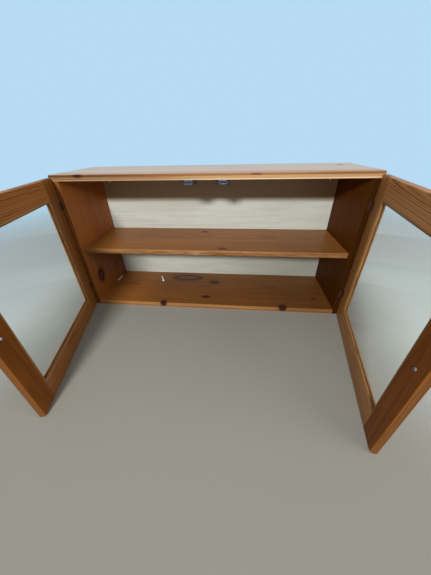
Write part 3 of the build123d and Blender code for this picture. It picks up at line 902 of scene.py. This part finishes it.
def rows_tree():
    """Geometry nodes that put one fixing on every point, along its "way", each turned at random."""
    tree = bpy.data.node_groups.new("fixings", "GeometryNodeTree")
    for label, kind in (
        ("Points", "NodeSocketGeometry"),
        ("Fixing", "NodeSocketObject"),
        ("Millimetre", "NodeSocketFloat"),
        ("Sink", "NodeSocketFloat"),
        ("Material", "NodeSocketMaterial"),
    ):
        tree.interface.new_socket(label, in_out="INPUT", socket_type=kind)
    tree.interface.new_socket("Fixings", in_out="OUTPUT", socket_type="NodeSocketGeometry")
    base = Finish(tree)
    inputs = tree.nodes.new("NodeGroupInput").outputs
    given = {socket.name: Finish(tree, socket) for socket in inputs if socket.name}
    size = given["Millimetre"]
    way = base.node(
        "GeometryNodeInputNamedAttribute", {"data_type": "FLOAT_VECTOR"}, {"Name": "way"}
    )
    sunk = base.node(
        "GeometryNodeSetPosition",
        None,
        {"Geometry": given["Points"], "Offset": way.scaled(given["Sink"] * size)},
    )
    aimed = base.node("FunctionNodeAlignRotationToVector", {"axis": "Z"}, {"Vector": way})
    twist = base.node(
        "FunctionNodeRandomValue", {"data_type": "FLOAT"}, {2: 0.0, 3: 2 * pi, "Seed": 7}, out=1
    )
    spin = base.node(
        "FunctionNodeAxisAngleToRotation", None, {"Axis": (0, 0, 1), "Angle": twist}
    )
    turned = base.node(
        "FunctionNodeRotateRotation",
        {"rotation_space": "LOCAL"},
        {"Rotation": aimed, "Rotate By": spin},
    )
    shape = base.node("GeometryNodeObjectInfo", None, {"Object": given["Fixing"]}, out=4)
    rows = base.node(
        "GeometryNodeInstanceOnPoints",
        None,
        {
            "Points": sunk,
            "Instance": shape,
            "Rotation": turned,
            "Scale": base.point(size, size, size),
        },
    )
    real = base.node("GeometryNodeRealizeInstances", None, {"Geometry": rows})
    coated = base.node(
        "GeometryNodeSetMaterial", None, {"Geometry": real, "Material": given["Material"]}
    )
    base.node("NodeGroupOutput", None, {"Fixings": coated})
    return tree


tree = rows_tree()


def fixings(node, body, size, material):
    """Puts detailed screws where a CAD node has plain ones."""
    master = bpy.data.objects.new("master", screw_mesh("master", **size))
    scene.collection.objects.link(master)
    places = screw_places(node, size["dome"])
    points = bpy.data.meshes.new(f"{node}_points")
    points.from_pydata([point for point, way in places], [], [])
    ways = points.attributes.new("way", "FLOAT_VECTOR", "POINT")
    for item, (point, way) in zip(ways.data, places):
        item.vector = way
    piece = bpy.data.objects.new(f"{node}_threaded", points)
    scene.collection.objects.link(piece)
    modifier = piece.modifiers.new("rows", "NODES")
    modifier.node_group = tree
    values = {"Fixing": master, "Millimetre": mm, "Sink": sink, "Material": material}
    for item in tree.interface.items_tree:
        if item.in_out == "INPUT" and item.name in values:
            modifier[item.identifier] = values[item.name]
    ready = bpy.context.evaluated_depsgraph_get()
    mesh = bpy.data.meshes.new_from_object(piece.evaluated_get(ready))
    piece.modifiers.clear()
    piece.data = mesh
    mesh.materials.clear()
    mesh.materials.append(material)
    mesh.shade_smooth()
    mesh.set_sharp_from_angle(angle=radians(40))
    master_mesh = master.data
    bpy.data.objects.remove(master)
    bpy.data.meshes.remove(master_mesh)
    bpy.data.meshes.remove(points)
    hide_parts(node)
    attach(piece, body)


small_screw = dict(shank=1.2, head=2.3, length=9, dome=0, pitch=0.9, plain=0.6)
plate_screw = dict(shank=1.2, head=2.3, length=12, dome=0, pitch=0.9, plain=0.6)
catch_screw = dict(shank=1.5, head=2.7, length=12, dome=0, pitch=1.1, plain=0.8)
wall_screw = dict(shank=2, head=4, length=40, dome=0, pitch=1.8, plain=8)
hanger_bolt = dict(shank=2, head=4, length=7.9, dome=2.5, pitch=0.7, plain=0.5)
knob_bolt = dict(shank=2, head=3.3, length=24, dome=2.2, pitch=0.7, plain=6)
dull_zinc = zinc_finish("dull_zinc", (0.28, 0.28, 0.27, 1), (0.46, 0.46, 0.44, 1))
# The loose screws and hanger bolts get a pale, barely metallic zinc whose brightness is a painted
# glint.
glint_zinc = zinc_finish("glint_zinc", (0.84, 0.83, 0.79, 1), (0.95, 0.94, 0.91, 1), metal=0.3)
for node, body, size, material, slot in (
    ("carcass_leaf_screws", "carcass", small_screw, bronzed, "dark_hinge_metal"),
    ("left_door_leaf_screws", "left_door", small_screw, bronzed, "dark_hinge_metal"),
    ("right_door_leaf_screws", "right_door", small_screw, bronzed, "dark_hinge_metal"),
    ("left_strike_screw", "left_door", small_screw, zinc, "bright_steel"),
    ("right_strike_screw", "right_door", small_screw, zinc, "bright_steel"),
    ("hanger_screws", "carcass", plate_screw, zinc, "bright_steel"),
    ("catch_screws", "carcass", catch_screw, zinc, "bright_steel"),
    ("spare_screws", "carcass", wall_screw, glint_zinc, "bright_steel"),
    ("hanger_bolts", "carcass", hanger_bolt, glint_zinc, "bright_steel"),
    ("left_knob_screw", "left_door", knob_bolt, dull_zinc, "bright_steel"),
    ("right_knob_screw", "right_door", knob_bolt, dull_zinc, "bright_steel"),
):
    fixings(node, body, size, material)


# ---- Doors
# Stained pine frames, dowelled at the corners: two stiles that run through and two rails between
# them, each board with its own grain. Four mitred beads hold the pane in its rebate from behind,
# and a turned knob is screwed to each meeting stile.

pieces = {
    "hinge_stile": (Z, X, dict(seed=11, pith=(0.06, -0.03), gloss=0.14)),
    "meeting_stile": (
        Z,
        X,
        dict(
            seed=12,
            contrast=0.5,
            tint=(1.0, 0.88, 0.7),
            rub=0.3,
            # The slim edges' colouring is painted shade.
            edge_shade_tint=(0.60, 0.76, 1.4),
            gloss=0.06,
        ),
    ),
    "top_rail": (X, Z, dict(seed=13)),
    "bottom_rail": (X, Z, dict(seed=14, contrast=0.6)),
    # The beads' pale, bluish colouring is a painted sheen.
    "beads": (X, Z, dict(seed=15, tone=1.3, tint=(0.9, 1.2, 2.0), mitred=True)),
    "knob": (Y, X, dict(seed=16)),
}
# The tones and tints in this table are painted light and shade, matched to how brightly each piece
# is lit, the most on the right door; the rest is each board's figure.
figure_and_painted_light = {
    "left_hinge_stile": dict(tone=0.84),
    "left_meeting_stile": dict(tone=0.74),
    "left_top_rail": dict(
        pith=(0.09, -0.03), ring=0.0045, ripple=0.006, contrast=1.5, tone=1.5
    ),
    "right_hinge_stile": dict(tone=1.40, tint=(1.0, 1.25, 1.9)),
    "right_meeting_stile": dict(tone=0.80),
    "right_top_rail": dict(
        pith=(0.024, -0.03),
        ring=0.0024,
        wave=0.3,
        contrast=1.4,
        tone=2.0,
        tint=(1.0, 1.25, 1.85),
    ),
    "right_bottom_rail": dict(tone=1.4, tint=(1.0, 1.18, 1.85)),
}

for number, joint in enumerate(hinges):
    pin = Vector(joint["pos_m"])
    turn = Matrix.Rotation(radians(-joint["range_deg"][0]), 4, Vector(joint["axis"]))
    swing = Matrix.Translation(pin) @ turn @ Matrix.Translation(-pin)
    side = joint["child"].split("_")[0]
    for piece, (along, across, figure) in pieces.items():
        node = f"{side}_{piece}"
        figure = figure | figure_and_painted_light.get(node, {})
        figure["seed"] += 10 * number
        pine_piece(node, along, across, swing, **figure)


# ---- Door panes
# Clear float glass, 3 mm thick and faintly green, which the beads hold in the frames' rebates. The
# light that falls on the wood passes through it, apart from what its faces mirror.

clear_glass, tinted_light = (0.96, 0.99, 0.98, 1), (0.88, 0.94, 0.92, 1)
mirror_grey = (0.9, 0.9, 0.9, 1)

material, make = new_finish("window_glass")
clean = make.node(
    "ShaderNodeBsdfPrincipled",
    None,
    {"Base Color": clear_glass, "Roughness": 0.0, "IOR": 1.22, "Transmission Weight": 1.0},
)
clear = make.node("ShaderNodeBsdfTransparent", None, {"Color": tinted_light})
mirrored = make.node("ShaderNodeBsdfGlossy", None, {"Color": mirror_grey, "Roughness": 0.05})
glance = make.node("ShaderNodeFresnel", None, {"IOR": 1.7})
passed = make.node("ShaderNodeMixShader", None, {0: glance, 1: clear, 2: mirrored})
lighting = make.rays("Is Shadow Ray", "Is Diffuse Ray")
pane = make.node("ShaderNodeMixShader", None, {0: lighting, 1: clean, 2: passed})
make.node("ShaderNodeOutputMaterial", None, {"Surface": pane})
for node in ("left_glass", "right_glass"):
    wear(node, material)
